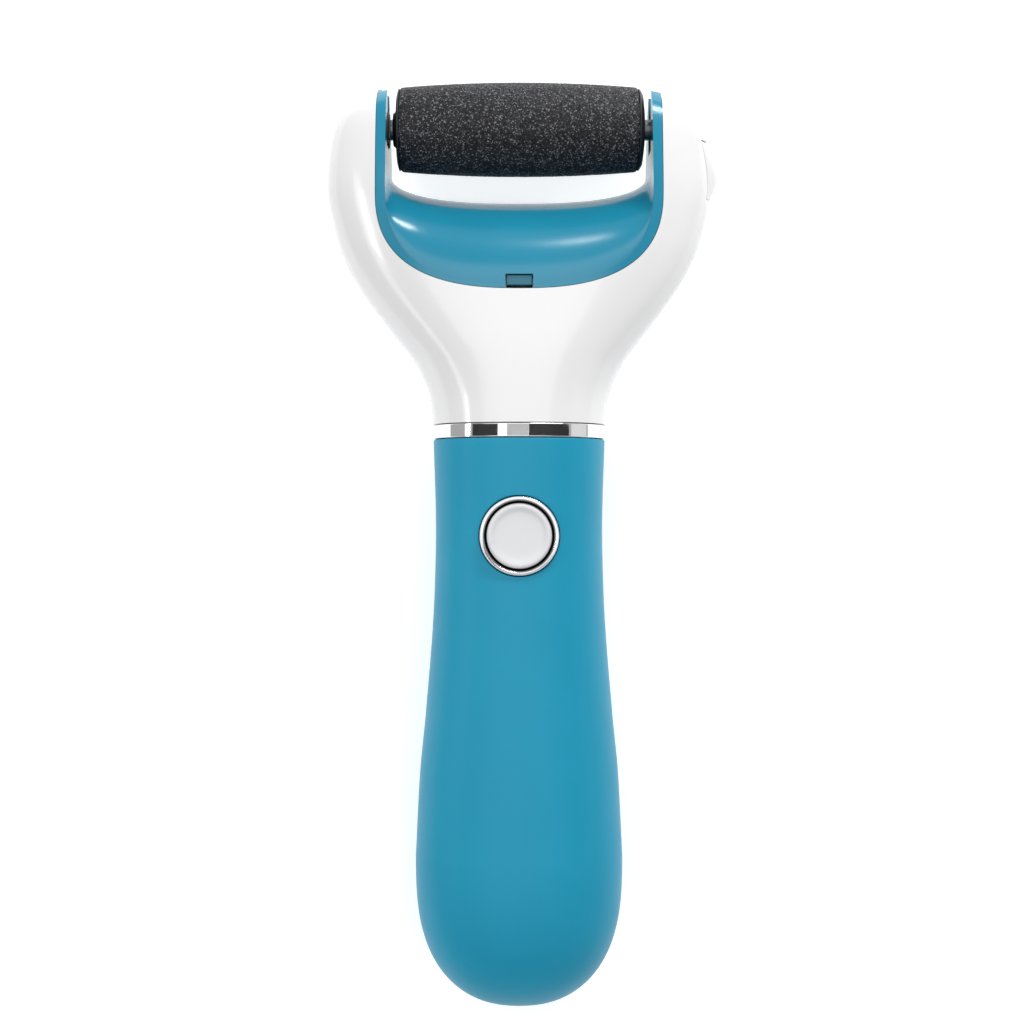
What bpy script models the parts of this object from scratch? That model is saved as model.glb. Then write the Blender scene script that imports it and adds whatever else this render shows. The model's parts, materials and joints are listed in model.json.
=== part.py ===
"""Electric callus remover: a rechargeable handle, a forked head and a driven abrasive roller.

Every dimension is in millimetres and MM turns it into Blender's metres. X runs along the
roller, +Y along the handle towards the roller, and +Z out of the side that has the button.
The object lies on its back on Z = 0. All pieces hang from an empty at the height of the
plane that parts the casings, so inside this script Z = 0 is that parting plane.
"""

import math

import bmesh
import bpy
from mathutils import Matrix, Vector

MM = 0.001

# ---------------------------------------------------------------- driving dimensions
PARTING_HEIGHT = 15.5
PARTING_GAP = 0.3
GAP = 0.3
SECTION_POWER = 2.4
SECTION_SIDES = 28
WALL = 1.6

BUTT_Y = -82.2
BELLY_Y = -55.4
HANDLE_TOP_Y = 18.4
RING_Y = (18.7, 21.0)
HEAD_BOTTOM_Y = 21.3
ARM_TIP_Y = 81.2

# (Y, half width) and (Y, depth) along the axis; a smooth curve runs through each list
HANDLE_WIDTH = [(-55.4, 18.45), (-40.7, 17.7), (-29.9, 16.65), (-8.3, 15.1), (2.5, 14.86), (19.0, 15.3)]
HANDLE_FRONT = [(-55.4, 14.4), (-30.0, 13.7), (2.0, 13.0), (19.0, 13.6)]
HANDLE_BACK = [(-55.4, 16.0), (-30.0, 14.8), (2.0, 13.4), (19.0, 13.9)]
HEAD_WIDTH = [(19.0, 15.3), (25.2, 15.85), (31.0, 17.9), (36.7, 21.95), (42.5, 26.4), (48.2, 30.05),
              (54.0, 32.5), (64.0, 34.4), (71.3, 33.7), (76.8, 31.95), (79.5, 29.0), (81.2, 26.0)]
HEAD_FRONT = [(19.0, 13.6), (33.0, 13.1), (45.0, 12.2), (60.0, 11.2), (74.2, 9.3), (77.6, 8.2),
              (79.9, 6.2), (81.2, 3.2)]
HEAD_BACK = [(19.0, 13.9), (33.0, 15.4), (44.0, 15.9), (55.0, 15.2), (63.0, 13.6), (74.2, 9.6),
             (77.6, 8.4), (79.9, 6.2), (81.2, 3.2)]
BUTT_POWERS = (2.8, 2.2)

# the opening between the arms that the cradle lines
LIP_CENTRE_Y = 62.0
LIP_DEPTH = 17.1
RIM_CENTRE_Y = 67.7
RIM_DEPTH = 5.6
RIM_Z = -8.0
LIP_STEP = 0.5
POCKET_POWER = 2.5
PLATE_INNER_X = 23.4
PLATE_OUTER_X = 25.1
PLATE = PLATE_OUTER_X - PLATE_INNER_X
CATCH_HALF = 2.1
CATCH_Y = (45.0, 46.6)

# roller
AXLE_Y = 74.2
ABRASIVE_HALF = 21.2
ROLLER_R_MID = 8.35
ROLLER_R_END = 7.48
CORE_R = 6.2
CORE_HALF = 20.0
SHAFT_R = 1.85
SHAFT_X = (-24.0, 24.7)
BLADE = 1.6
BLADE_END_X = -23.0
SHOE_X = (23.7, 25.0)
SHOE_Y = (AXLE_Y - 3.9, AXLE_Y + 4.6)
SHOE_HALF = 2.5
HUB_R = 3.2

# gear train, all axes along X; (Y, Z) of each axis follows from the tooth counts
MODULE = 0.5
BACKLASH = 0.12
HUB_TEETH = 14
IDLER_TEETH = 16
TRANSFER_SMALL_TEETH = 10
TRANSFER_BIG_TEETH = 26
PINION_TEETH = 10
TRANSFER_AXIS = (52.45, -3.0)
MOTOR_AXIS_Z = -1.0
ARM_GEAR_X = (-28.1, -26.2)
COVER_X = (-29.1, -28.4)
MOTOR_GEAR_X = (-16.8, -14.8)
PIN_R = 0.75
PIN_FIT = 0.15
IDLER_PIN_END = -25.4

# motor
CAN_R = 10.0
CAN_FLATS = 15.0
CAN_WALL = 0.7
CAN_X = (-12.2, 12.5)
BRACKET_X = (-13.7, -12.5)
MOTOR_SHAFT_R = 1.0

# power button
BUTTON_Y = 1.65
BEZEL_R = (6.05, 6.9)
BUTTON_R = 5.65
BUTTON_TOP = 13.3

# release button
RELEASE_Y = 66.4
RELEASE_LENGTH = 10.4
RELEASE_DEPTH = 7.0
RELEASE_PEAK_X = 35.65

# battery and board
CELL_R = 7.1
CELL_Y = (-70.5, -21.5)
CELL_Z = -2.0
TAB_REACH = 0.55
BOARD_TOP_Z = 3.2
WIRE_R = 0.55

# screws: radii of the pilot hole, its post, the clearance hole, its post and the head's room
PILOT_R = 1.2
FRONT_POST_R = 2.4
CLEARANCE_R = 1.35
BACK_POST_R = 2.9
HEAD_ROOM_R = 2.35
HEAD_ROOM_Z = -6.0
# (X, Y) of each; all but the upper handle screw come in mirrored pairs
NECK_SCREW = (9.0, 29.4)
CRADLE_SCREW = (9.0, 57.7)
HANDLE_SCREW = (11.9, -68.5)
HANDLE_TOP_SCREW = (0.0, -16.2)

for old in list(bpy.data.objects):
    bpy.data.objects.remove(old)

PART = bpy.data.collections.new("electric_callus_remover")
CUTTERS = bpy.data.collections.new("cutters")
bpy.context.scene.collection.children.link(PART)
bpy.context.scene.collection.children.link(CUTTERS)

FRAME = bpy.data.objects.new("parting_plane", None)
FRAME.location = (0.0, 0.0, PARTING_HEIGHT * MM)
PART.objects.link(FRAME)

# local Z of a turned or extruded shape runs along the named world axis
AXES = {
    "X": Matrix(((0, 0, 1), (1, 0, 0), (0, 1, 0))),
    "Y": Matrix(((0, 1, 0), (0, 0, 1), (1, 0, 0))),
    "Z": Matrix.Identity(3),
}


# ---------------------------------------------------------------- materials
def material(name, colour, roughness, metallic=0.0):
    made = bpy.data.materials.new(name)
    made.use_nodes = True
    shader = made.node_tree.nodes["Principled BSDF"]
    shader.inputs["Base Color"].default_value = (*colour, 1.0)
    shader.inputs["Roughness"].default_value = roughness
    shader.inputs["Metallic"].default_value = metallic
    made.diffuse_color = (*colour, 1.0)
    return made


def teal():
    return material("teal_plastic", (0.030, 0.300, 0.460), 0.42)


def white():
    return material("white_gloss_plastic", (0.85, 0.85, 0.86), 0.15)


def black():
    return material("black_plastic", (0.02, 0.02, 0.022), 0.45)


def natural():
    return material("natural_acetal", (0.78, 0.76, 0.70), 0.40)


def steel():
    return material("steel", (0.55, 0.55, 0.56), 0.28, 1.0)


def chrome():
    return material("chrome", (0.80, 0.80, 0.82), 0.06, 1.0)


# ---------------------------------------------------------------- general helpers
def smooth(points, at):
    """Height at one place of a curve that runs through the points without overshoot."""
    at = min(max(at, points[0][0]), points[-1][0])
    slopes = [(b[1] - a[1]) / (b[0] - a[0]) for a, b in zip(points, points[1:])]
    tangents = [slopes[0]]
    for before, after in zip(slopes, slopes[1:]):
        tangents.append(2 * before * after / (before + after) if before * after > 0 else 0.0)
    tangents.append(slopes[-1])
    index = max(i for i in range(len(slopes)) if points[i][0] <= at)
    (x0, y0), (x1, y1) = points[index], points[index + 1]
    span = x1 - x0
    t = (at - x0) / span
    h00 = 2 * t ** 3 - 3 * t ** 2 + 1
    h10 = t ** 3 - 2 * t ** 2 + t
    return (h00 * y0 + h10 * span * tangents[index]
            + (1 - h00) * y1 + (t ** 3 - t ** 2) * span * tangents[index + 1])


def own(obj, name, look=None):
    """Name an object, give it its material and hang it from the parting plane."""
    obj.name = name
    obj.data.name = name
    for collection in list(obj.users_collection):
        collection.objects.unlink(obj)
    obj.parent = FRAME
    if look is None:
        CUTTERS.objects.link(obj)
        obj.hide_render = True
        obj.display_type = "WIRE"
        return obj
    PART.objects.link(obj)
    look.name = "look_" + name
    obj.data.materials.clear()
    obj.data.materials.append(look)
    return obj


def show(obj, name, look):
    """Make a part of the object out of a form that would otherwise be a cutter."""
    own(obj, name, look)
    obj.hide_render = False
    obj.display_type = "TEXTURED"
    return obj


def place(obj, centre=(0.0, 0.0, 0.0), axis="Z"):
    obj.location = Vector(centre) * MM
    obj.rotation_euler = AXES[axis].to_euler()
    return obj


def box(name, low, high, look=None, rounding=0.0):
    """A block between two corners, with its origin at its middle."""
    low, high = Vector(low), Vector(high)
    bpy.ops.mesh.primitive_cube_add(size=1.0)
    obj = bpy.context.object
    obj.data.transform(Matrix.Diagonal((*((high - low) * MM), 1.0)))
    place(obj, (low + high) / 2)
    if rounding:
        bevel = obj.modifiers.new("rounding", "BEVEL")
        bevel.width = rounding * MM
        bevel.segments = 2
    return own(obj, name, look)


def rod(name, start, end, radius, axis, look=None, sides=20):
    """A cylinder along one axis between two points on it."""
    length = (Vector(end) - Vector(start)).length
    bpy.ops.mesh.primitive_cylinder_add(vertices=sides, radius=radius * MM, depth=length * MM)
    obj = bpy.context.object
    place(obj, (Vector(start) + Vector(end)) / 2, axis)
    return own(obj, name, look)


def turned(name, profile, centre, axis, look=None, steps=24, ring=False):
    """A (radius, height) profile, listed from its top down its outer side, turned about local Z."""
    mesh = bpy.data.meshes.new(name)
    edges = [(i, i + 1) for i in range(len(profile) - 1)]
    if ring:
        edges.append((len(profile) - 1, 0))
    mesh.from_pydata([(r * MM, 0.0, h * MM) for r, h in profile], edges, [])
    obj = bpy.data.objects.new(name, mesh)
    PART.objects.link(obj)
    screw = obj.modifiers.new("turn", "SCREW")
    screw.steps = steps
    screw.render_steps = steps
    screw.use_merge_vertices = True
    screw.merge_threshold = 0.00001
    place(obj, centre, axis)
    return own(obj, name, look)


def circle(radius, sides=20, centre=(0.0, 0.0)):
    return [(centre[0] + radius * math.cos(2 * math.pi * k / sides),
             centre[1] + radius * math.sin(2 * math.pi * k / sides)) for k in range(sides)]


def plate(name, outlines, low, high, axis, look=None, centre=(0.0, 0.0)):
    """Flat outlines, the first one outside and the rest holes, as thick as from low to high."""
    curve = bpy.data.curves.new(name, "CURVE")
    curve.dimensions = "2D"
    curve.fill_mode = "BOTH"
    curve.extrude = (high - low) / 2 * MM
    for outline in outlines:
        spline = curve.splines.new("POLY")
        spline.points.add(len(outline) - 1)
        for point, (u, v) in zip(spline.points, outline):
            point.co = (u * MM, v * MM, 0.0, 1.0)
        spline.use_cyclic_u = True
    obj = bpy.data.objects.new(name, curve)
    PART.objects.link(obj)
    middle = (low + high) / 2
    where = {"X": (middle, *centre), "Y": (centre[1], middle, centre[0]), "Z": (*centre, middle)}
    place(obj, where[axis], axis)
    return own(obj, name, look)


def tube(name, points, radius, look):
    """A wire through smooth in-between points of its route."""
    curve = bpy.data.curves.new(name, "CURVE")
    curve.dimensions = "3D"
    curve.bevel_depth = radius * MM
    curve.bevel_resolution = 2
    curve.use_fill_caps = True
    route = rounded_route([Vector(p) for p in points])
    spline = curve.splines.new("POLY")
    spline.points.add(len(route) - 1)
    for point, at in zip(spline.points, route):
        point.co = (*(at * MM), 1.0)
    obj = bpy.data.objects.new(name, curve)
    PART.objects.link(obj)
    return own(obj, name, look)


def rounded_route(points, steps=4):
    """Catmull-Rom points through a route."""
    ends = [2 * points[0] - points[1], *points, 2 * points[-1] - points[-2]]
    route = []
    for a, b, c, d in zip(ends, ends[1:], ends[2:], ends[3:]):
        for step in range(steps):
            t = step / steps
            route.append(0.5 * (2 * b + (c - a) * t + (2 * a - 5 * b + 4 * c - d) * t ** 2
                                + (3 * b - a - 3 * c + d) * t ** 3))
    return [*route, points[-1]]


def as_mesh(obj):
    """Turn a curve object into a welded mesh object, so that it can be cut."""
    bpy.context.view_layer.update()
    evaluated = obj.evaluated_get(bpy.context.evaluated_depsgraph_get())
    mesh = bpy.data.meshes.new_from_object(evaluated)
    work = bmesh.new()
    work.from_mesh(mesh)
    bmesh.ops.remove_doubles(work, verts=work.verts, dist=0.000001)
    bmesh.ops.recalc_face_normals(work, faces=work.faces)
    work.to_mesh(mesh)
    work.free()
    name, curve, homes = obj.name, obj.data, list(obj.users_collection)
    solid = bpy.data.objects.new(name + "_solid", mesh)
    for home in homes:
        home.objects.link(solid)
    solid.parent = FRAME
    solid.location = obj.location
    solid.rotation_euler = obj.rotation_euler
    solid.hide_render = obj.hide_render
    solid.display_type = obj.display_type
    bpy.data.objects.remove(obj)
    bpy.data.curves.remove(curve)
    solid.name = name
    return solid


def loft(name, rings, look=None):
    """A closed skin over unlike sections that all have the same number of points."""
    mesh = bpy.data.meshes.new(name)
    work = bmesh.new()
    rows = [[work.verts.new(Vector(p) * MM) for p in ring] for ring in rings]
    count = len(rows[0])
    for row, following in zip(rows, rows[1:]):
        for k in range(count):
            nxt = (k + 1) % count
            work.faces.new((row[k], row[nxt], following[nxt], following[k]))
    work.faces.new(rows[0])
    work.faces.new(rows[-1])
    bmesh.ops.recalc_face_normals(work, faces=work.faces)
    work.to_mesh(mesh)
    work.free()
    obj = bpy.data.objects.new(name, mesh)
    PART.objects.link(obj)
    return own(obj, name, look)


def change(obj, other, operation):
    boolean = obj.modifiers.new(operation.lower(), "BOOLEAN")
    boolean.operation = operation
    boolean.object = other
    return obj


def cut(obj, other):
    return change(obj, other, "DIFFERENCE")


def join(obj, other):
    return change(obj, other, "UNION")


def keep_inside(obj, other):
    return change(obj, other, "INTERSECT")


# ---------------------------------------------------------------- outer form
def butt_factor(y):
    if y >= BELLY_Y:
        return 1.0
    share = min((BELLY_Y - y) / (BELLY_Y - BUTT_Y), 1.0)
    return (1.0 - share ** BUTT_POWERS[0]) ** (1.0 / BUTT_POWERS[1])


def handle_size(y):
    """Half width, front depth and back depth of the handle at one place along it."""
    factor = butt_factor(y)
    return tuple(factor * smooth(curve, y) for curve in (HANDLE_WIDTH, HANDLE_FRONT, HANDLE_BACK))


def head_size(y):
    return tuple(smooth(curve, y) for curve in (HEAD_WIDTH, HEAD_FRONT, HEAD_BACK))


def section(size, y, inset=0.0):
    """One superelliptic section, flattened where the object rests on its back."""
    width, front, back = (value - inset for value in size)
    ring = []
    for k in range(SECTION_SIDES):
        angle = 2 * math.pi * k / SECTION_SIDES
        across = math.copysign(abs(math.cos(angle)) ** (2 / SECTION_POWER), math.cos(angle))
        deep = math.copysign(abs(math.sin(angle)) ** (2 / SECTION_POWER), math.sin(angle))
        z = deep * (front if deep > 0 else back)
        ring.append((across * width, y, max(z, inset - PARTING_HEIGHT)))
    return ring


def handle_form(name, inset, top):
    """The handle's form, smaller all round by the inset."""
    start = BUTT_Y + inset
    turns = 7
    places = [start + (BELLY_Y - start) * (1 - math.cos(math.pi / 2 * k / turns)) for k in range(turns + 1)]
    places[0] = start + 0.04
    steps = 8
    places += [BELLY_Y + (top - BELLY_Y) * k / steps for k in range(1, steps + 1)]
    rings = []
    for y in places:
        scaled = BELLY_Y - (BELLY_Y - y) * (BELLY_Y - BUTT_Y) / (BELLY_Y - start)
        rings.append(section(handle_size(y if y > BELLY_Y else scaled), y, inset))
    return loft(name, [ring for ring in rings if ring[0][0] > 0.3])


def head_form(name, inset, bottom):
    places = [bottom, 25.2, 29.0, 33.0, 37.0, 41.0, 45.0, 49.0, 54.0, 59.0, 64.0, 69.0, 74.2, 76.8,
              78.5, 79.9, 80.7, ARM_TIP_Y]
    rings = []
    for y in places:
        if y < ARM_TIP_Y - inset:
            rings.append(section(head_size(y), y, inset))
    rings.append(section(head_size(ARM_TIP_Y), ARM_TIP_Y - inset, inset))
    return loft(name, rings)


def front_surface(x, y):
    """Height of the head's front surface."""
    width, front, _ = head_size(y)
    return front * (1 - min(abs(x) / width, 1.0) ** SECTION_POWER) ** (1 / SECTION_POWER)


def arc_drop(x, half, depth):
    return depth * max(1 - min(abs(x) / half, 1.0) ** POCKET_POWER, 0.0) ** (1 / POCKET_POWER)


def trough_path(x, half, lip_drop, wall):
    """The opening's outline in the YZ plane at one place across it."""
    lip = LIP_CENTRE_Y - arc_drop(x, half, LIP_DEPTH + lip_drop)
    rim = RIM_CENTRE_Y - arc_drop(x, half, RIM_DEPTH + wall)
    lip_z = front_surface(min(abs(x), PLATE_INNER_X), lip) - LIP_STEP - wall
    path = [(lip, 30.0 + wall)]
    turns = 7
    for k in range(turns + 1):
        angle = math.pi / 2 * k / turns
        path.append((lip + (rim - lip) * math.sin(angle), RIM_Z + (lip_z - RIM_Z) * math.cos(angle)))
    return [*path, (rim, -30.0 - wall), (110.0 + wall, -30.0 - wall), (110.0 + wall, 30.0 + wall)]


def pocket(name, side, lip_drop, wall):
    """The room between the arms: straight sides over a convex trough, larger by the given walls."""
    half = PLATE_INNER_X + side
    steps = 7
    across = [half * math.sin(math.pi / 2 * k / steps) ** (2 / POCKET_POWER) for k in range(steps + 1)]
    stations = [-x for x in reversed(across[1:])] + across
    rings = [[(x, y, z) for y, z in trough_path(x, half, lip_drop, wall)] for x in stations]
    return loft(name, rings)


# ---------------------------------------------------------------- casings
def half_space(name, side):
    """A block over everything on one side of the parting plane, with half the parting gap."""
    edge = PARTING_GAP / 2
    if side > 0:
        return box(name, (-60, -110, -edge), (60, 110, 60))
    return box(name, (-60, -110, -60), (60, 110, edge))


def screw_posts(casing, label, spots, radius, low, high, limit):
    """Posts joined to a casing, each cut off inside its wall."""
    for number, (x, y) in enumerate(spots):
        post = rod(f"{label}_post_{number}", (x, y, low), (x, y, high), radius, "Z", sides=16)
        keep_inside(post, limit)
        join(casing, post)


def mirrored(spot):
    return [(-spot[0], spot[1]), spot]


def shell(name, outer, inner, limit, side, spots, look):
    """Half a casing: the outer form, hollowed, halved and given its screw posts."""
    casing = outer.copy()
    casing.data = outer.data.copy()
    show(casing, name, look)
    cut(casing, inner)
    cut(casing, half_space(name + "_parting", -side))
    edge = PARTING_GAP / 2
    if side > 0:
        screw_posts(casing, name, spots, FRONT_POST_R, edge, 30.0, limit)
        for number, (x, y) in enumerate(spots):
            hole = rod(f"{name}_pilot_{number}", (x, y, -5.0), (x, y, 7.0), PILOT_R, "Z", sides=12)
            cut(casing, hole)
        return casing
    screw_posts(casing, name, spots, BACK_POST_R, -30.0, -edge, limit)
    for number, (x, y) in enumerate(spots):
        clearance = rod(f"{name}_clearance_{number}", (x, y, -20.0), (x, y, 1.0), CLEARANCE_R, "Z", sides=12)
        counterbore = rod(f"{name}_counterbore_{number}", (x, y, -20.0), (x, y, HEAD_ROOM_Z), HEAD_ROOM_R, "Z",
                          sides=16)
        cut(casing, clearance)
        cut(casing, counterbore)
    return casing


def handle_casings():
    top = HANDLE_TOP_Y
    outer = handle_form("handle_outer_form", 0.0, top)
    inner = handle_form("handle_inner_form", WALL, top + 6.0)
    limit = handle_form("handle_post_limit", WALL / 2, top - 1.0)
    spots = [HANDLE_TOP_SCREW, *mirrored(HANDLE_SCREW)]
    front = shell("handle_front_shell", outer, inner, limit, 1, spots, teal())
    back = shell("handle_back_shell", outer, inner, limit, -1, spots, teal())
    bore = rod("bezel_bore", (0, BUTTON_Y, 5), (0, BUTTON_Y, 30), BEZEL_R[1] + GAP, "Z", sides=32)
    cut(front, bore)
    port = rod("port_bore", (0, BUTT_Y - 5, 0), (0, BUTT_Y + 5, 0), 3.9, "Y")
    cut(front, port)
    cut(back, port)


def head_casings():
    outer = head_form("head_outer_form", 0.0, HEAD_BOTTOM_Y)
    inner = head_form("head_inner_form", WALL, HEAD_BOTTOM_Y - 6.0)
    limit = head_form("head_post_limit", WALL / 2, HEAD_BOTTOM_Y + 1.0)
    room = pocket("cradle_room", PLATE + GAP, LIP_STEP + GAP, PLATE + GAP)
    spots = mirrored(NECK_SCREW)
    half = RELEASE_LENGTH / 2 + GAP
    deep = RELEASE_DEPTH / 2 + GAP
    window = box("release_window", (28.0, RELEASE_Y - half, -deep), (40.0, RELEASE_Y + half, deep))
    for name, side in (("head_front_shell", 1), ("head_back_shell", -1)):
        casing = shell(name, outer, inner, limit, side, spots, white())
        cut(casing, room)
        cut(casing, window)
        if side < 0:
            for number, (x, y) in enumerate(mirrored(CRADLE_SCREW)):
                hole = rod(f"cradle_screw_hole_{number}", (x, y, -20), (x, y, -5), 2.5, "Z", sides=16)
                cut(casing, hole)
    return outer


def cradle(outer):
    """The teal liner: two side plates over a convex trough, flush with the white casing."""
    body = show(pocket("cradle", PLATE, LIP_STEP, PLATE), "cradle", teal())
    cut(body, pocket("cradle_opening", 0.0, 0.0, 0.0))
    keep_inside(body, outer)
    limit = pocket("cradle_post_limit", 0.6, 0.3, 0.8)
    for number, (x, y) in enumerate(mirrored(CRADLE_SCREW)):
        post = rod(f"cradle_post_{number}", (x, y, -11.0), (x, y, 8.0), FRONT_POST_R, "Z", sides=16)
        cut(post, limit)
        join(body, post)
        cut(body, rod(f"cradle_pilot_{number}", (x, y, -12.0), (x, y, -3.0), PILOT_R, "Z", sides=12))
    cut(body, rod("hub_hole", (-28, AXLE_Y, 0), (-21, AXLE_Y, 0), HUB_R + GAP, "X", sides=24))
    groove = SHAFT_R + 0.45
    cut(body, box("shaft_groove", (-24.5, AXLE_Y, -groove), (-20.0, 90.0, groove)))
    channel = SHOE_HALF + 0.4
    cut(body, box("shoe_channel", (20.0, SHOE_Y[0] - GAP, -channel), (30.0, 90.0, channel)))
    low, high = CATCH_Y
    half = CATCH_HALF + GAP
    cut(body, box("catch_window", (-half, low - 2.0, 6.0), (half, high + GAP, 20.0)))
    catch_look = material("catch_teal", (0.02, 0.14, 0.2), 0.4)
    box("cradle_catch", (-CATCH_HALF, low, 8.6), (CATCH_HALF, high, 10.9), catch_look, 0.2)


# ---------------------------------------------------------------- neck
def neck():
    def band(name, low, high, inset, wall, look):
        size = head_size(19.0)
        rings = [section(size, low, inset), section(size, high, inset)]
        body = show(loft(name, rings), name, look)
        rings = [section(size, low - 1.0, inset + wall), section(size, high + 1.0, inset + wall)]
        cut(body, loft(name + "_bore", rings))

    band("neck_ring", *RING_Y, 0.0, 1.5, chrome())
    band("neck_sleeve", 13.5, 24.6, 1.9, 1.2, natural())
    band("neck_seal", 11.6, 13.2, 1.9, 1.4, material("black_rubber", (0.015, 0.015, 0.015), 0.7))


# ---------------------------------------------------------------- gears
def pitch_radius(teeth):
    return teeth * MODULE / 2


def involute(angle):
    return math.tan(angle) - angle


def tooth_half_angle(radius, teeth):
    """Half of the angle that a tooth fills at one radius, with the backlash taken off."""
    pressure = math.radians(20)
    at_pitch = math.pi / (2 * teeth) - BACKLASH / (2 * pitch_radius(teeth))
    base = pitch_radius(teeth) * math.cos(pressure)
    here = math.acos(min(base / radius, 1.0))
    return at_pitch + involute(pressure) - involute(here)


def gear_outline(teeth, phase):
    pitch = pitch_radius(teeth)
    base = pitch * math.cos(math.radians(20))
    root = pitch - 1.2 * MODULE
    flank = [root, max(base, root + 0.05), pitch, pitch + 0.9 * MODULE]
    outline = []
    for tooth in range(teeth):
        middle = phase + 2 * math.pi * tooth / teeth
        sides = [(radius, tooth_half_angle(radius, teeth)) for radius in flank]
        outline += [(r * math.cos(middle - a), r * math.sin(middle - a)) for r, a in sides]
        outline += [(r * math.cos(middle + a), r * math.sin(middle + a)) for r, a in reversed(sides)]
    return outline


def direction(start, end):
    return math.atan2(end[1] - start[1], end[0] - start[0])


def step_from(centre, angle, distance):
    return (centre[0] + distance * math.cos(angle), centre[1] + distance * math.sin(angle))


def meshing_phase(centre, teeth, phase, other, other_teeth):
    """Phase of a gear that meshes with a gear whose phase is known."""
    towards = direction(centre, other)
    share = ((towards - phase) * teeth / (2 * math.pi)) % 1.0
    return towards + math.pi - 2 * math.pi / other_teeth * (0.5 - share)


def train():
    """Axis and tooth phase of each gear, worked back from the hub to the motor."""
    hub = (AXLE_Y, 0.0)
    small_reach = pitch_radius(IDLER_TEETH) + pitch_radius(TRANSFER_SMALL_TEETH)
    idler_reach = 2 * pitch_radius(IDLER_TEETH)
    upper = step_from(hub, direction(hub, TRANSFER_AXIS), pitch_radius(HUB_TEETH) + pitch_radius(IDLER_TEETH))
    span = math.dist(upper, TRANSFER_AXIS)
    bend = math.acos((idler_reach ** 2 + span ** 2 - small_reach ** 2) / (2 * idler_reach * span))
    lower = step_from(upper, direction(upper, TRANSFER_AXIS) - bend, idler_reach)
    big_reach = pitch_radius(TRANSFER_BIG_TEETH) + pitch_radius(PINION_TEETH)
    rise = MOTOR_AXIS_Z - TRANSFER_AXIS[1]
    motor = (TRANSFER_AXIS[0] - math.sqrt(big_reach ** 2 - rise ** 2), MOTOR_AXIS_Z)
    upper_phase = meshing_phase(hub, HUB_TEETH, 0.0, upper, IDLER_TEETH)
    lower_phase = meshing_phase(upper, IDLER_TEETH, upper_phase, lower, IDLER_TEETH)
    small_phase = meshing_phase(lower, IDLER_TEETH, lower_phase, TRANSFER_AXIS, TRANSFER_SMALL_TEETH)
    big_phase = meshing_phase(motor, PINION_TEETH, 0.0, TRANSFER_AXIS, TRANSFER_BIG_TEETH)
    return {"hub": hub, "upper": upper, "lower": lower, "motor": motor, "upper_phase": upper_phase,
            "lower_phase": lower_phase, "small_phase": small_phase, "big_phase": big_phase}


def belt(first, first_radius, second, second_radius, turns=7):
    """The outline that a tight band round two circles would have."""
    along = direction(first, second)
    lean = math.acos((first_radius - second_radius) / math.dist(first, second))
    outline = []
    for k in range(turns + 1):
        outline.append(step_from(first, along + lean + (2 * math.pi - 2 * lean) * k / turns, first_radius))
    for k in range(turns + 1):
        outline.append(step_from(second, along - lean + 2 * lean * k / turns, second_radius))
    return outline


def gear_train(places):
    low, high = ARM_GEAR_X
    for name in ("upper", "lower"):
        outline = gear_outline(IDLER_TEETH, places[name + "_phase"])
        plate(f"{name}_idler_gear", [outline, circle(PIN_R + PIN_FIT, 12)], low, high, "X", natural(), places[name])
        rod(f"{name}_idler_pin", (COVER_X[0], *places[name]), (IDLER_PIN_END, *places[name]), PIN_R, "X", steel(), 12)
    transfer_gear(places, natural())
    rod("transfer_pin", (COVER_X[0], *TRANSFER_AXIS), (BRACKET_X[0] + 0.7, *TRANSFER_AXIS), PIN_R, "X", steel(), 12)
    cover_holes = [circle(PIN_R + PIN_FIT, 12, spot) for spot in (TRANSFER_AXIS, places["lower"], places["upper"])]
    outline = belt(TRANSFER_AXIS, 1.7, places["hub"], 3.1)
    cover = [outline, *cover_holes, circle(1.5, 16, places["hub"])]
    plate("gear_cover", cover, *COVER_X, "X", black())


def transfer_gear(places, look):
    """Compound gear: a large wheel driven by the motor and a small one that drives the idlers."""
    bore = circle(PIN_R + 0.2, 12)
    big = gear_outline(TRANSFER_BIG_TEETH, places["big_phase"])
    small = gear_outline(TRANSFER_SMALL_TEETH, places["small_phase"])
    body = as_mesh(plate("transfer_gear", [big, bore], *MOTOR_GEAR_X, "X", look, TRANSFER_AXIS))
    neck = as_mesh(plate("transfer_neck", [circle(1.8, 16), bore], ARM_GEAR_X[1] - 0.2, MOTOR_GEAR_X[0] + 0.2,
                         "X", None, TRANSFER_AXIS))
    wheel = as_mesh(plate("transfer_small_wheel", [small, bore], *ARM_GEAR_X, "X", None, TRANSFER_AXIS))
    join(body, neck)
    join(body, wheel)


def drive_hub(places):
    """Turned hub with a cross slot for the blade of the roller shaft, its bush and its gear."""
    y, z = places["hub"]
    profile = [(0.0, -23.2), (HUB_R, -23.2), (HUB_R, -24.7), (2.2, -24.7), (2.2, -26.0), (3.0, -26.0),
               (3.0, -28.1), (1.2, -28.1), (1.2, -28.95), (0.0, -28.95)]
    hub = turned("drive_hub", profile, (0.0, y, z), "X", black())
    teeth = gear_outline(HUB_TEETH, 0.0)
    low, high = ARM_GEAR_X
    join(hub, as_mesh(plate("hub_gear_teeth", [teeth, circle(2.6, 16)], low, high, "X", None, places["hub"])))
    half = BLADE / 2 + 0.15
    cut(hub, box("hub_slot", (-24.2, y - 5, z - half), (-20.0, y + 5, z + half)))
    bush = [(HUB_R, -24.95), (HUB_R, -25.95), (2.45, -25.95), (2.45, -24.95)]
    turned("hub_bush", bush, (0.0, y, z), "X", material("bronze", (0.55, 0.36, 0.16), 0.35, 1.0), ring=True)


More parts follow.
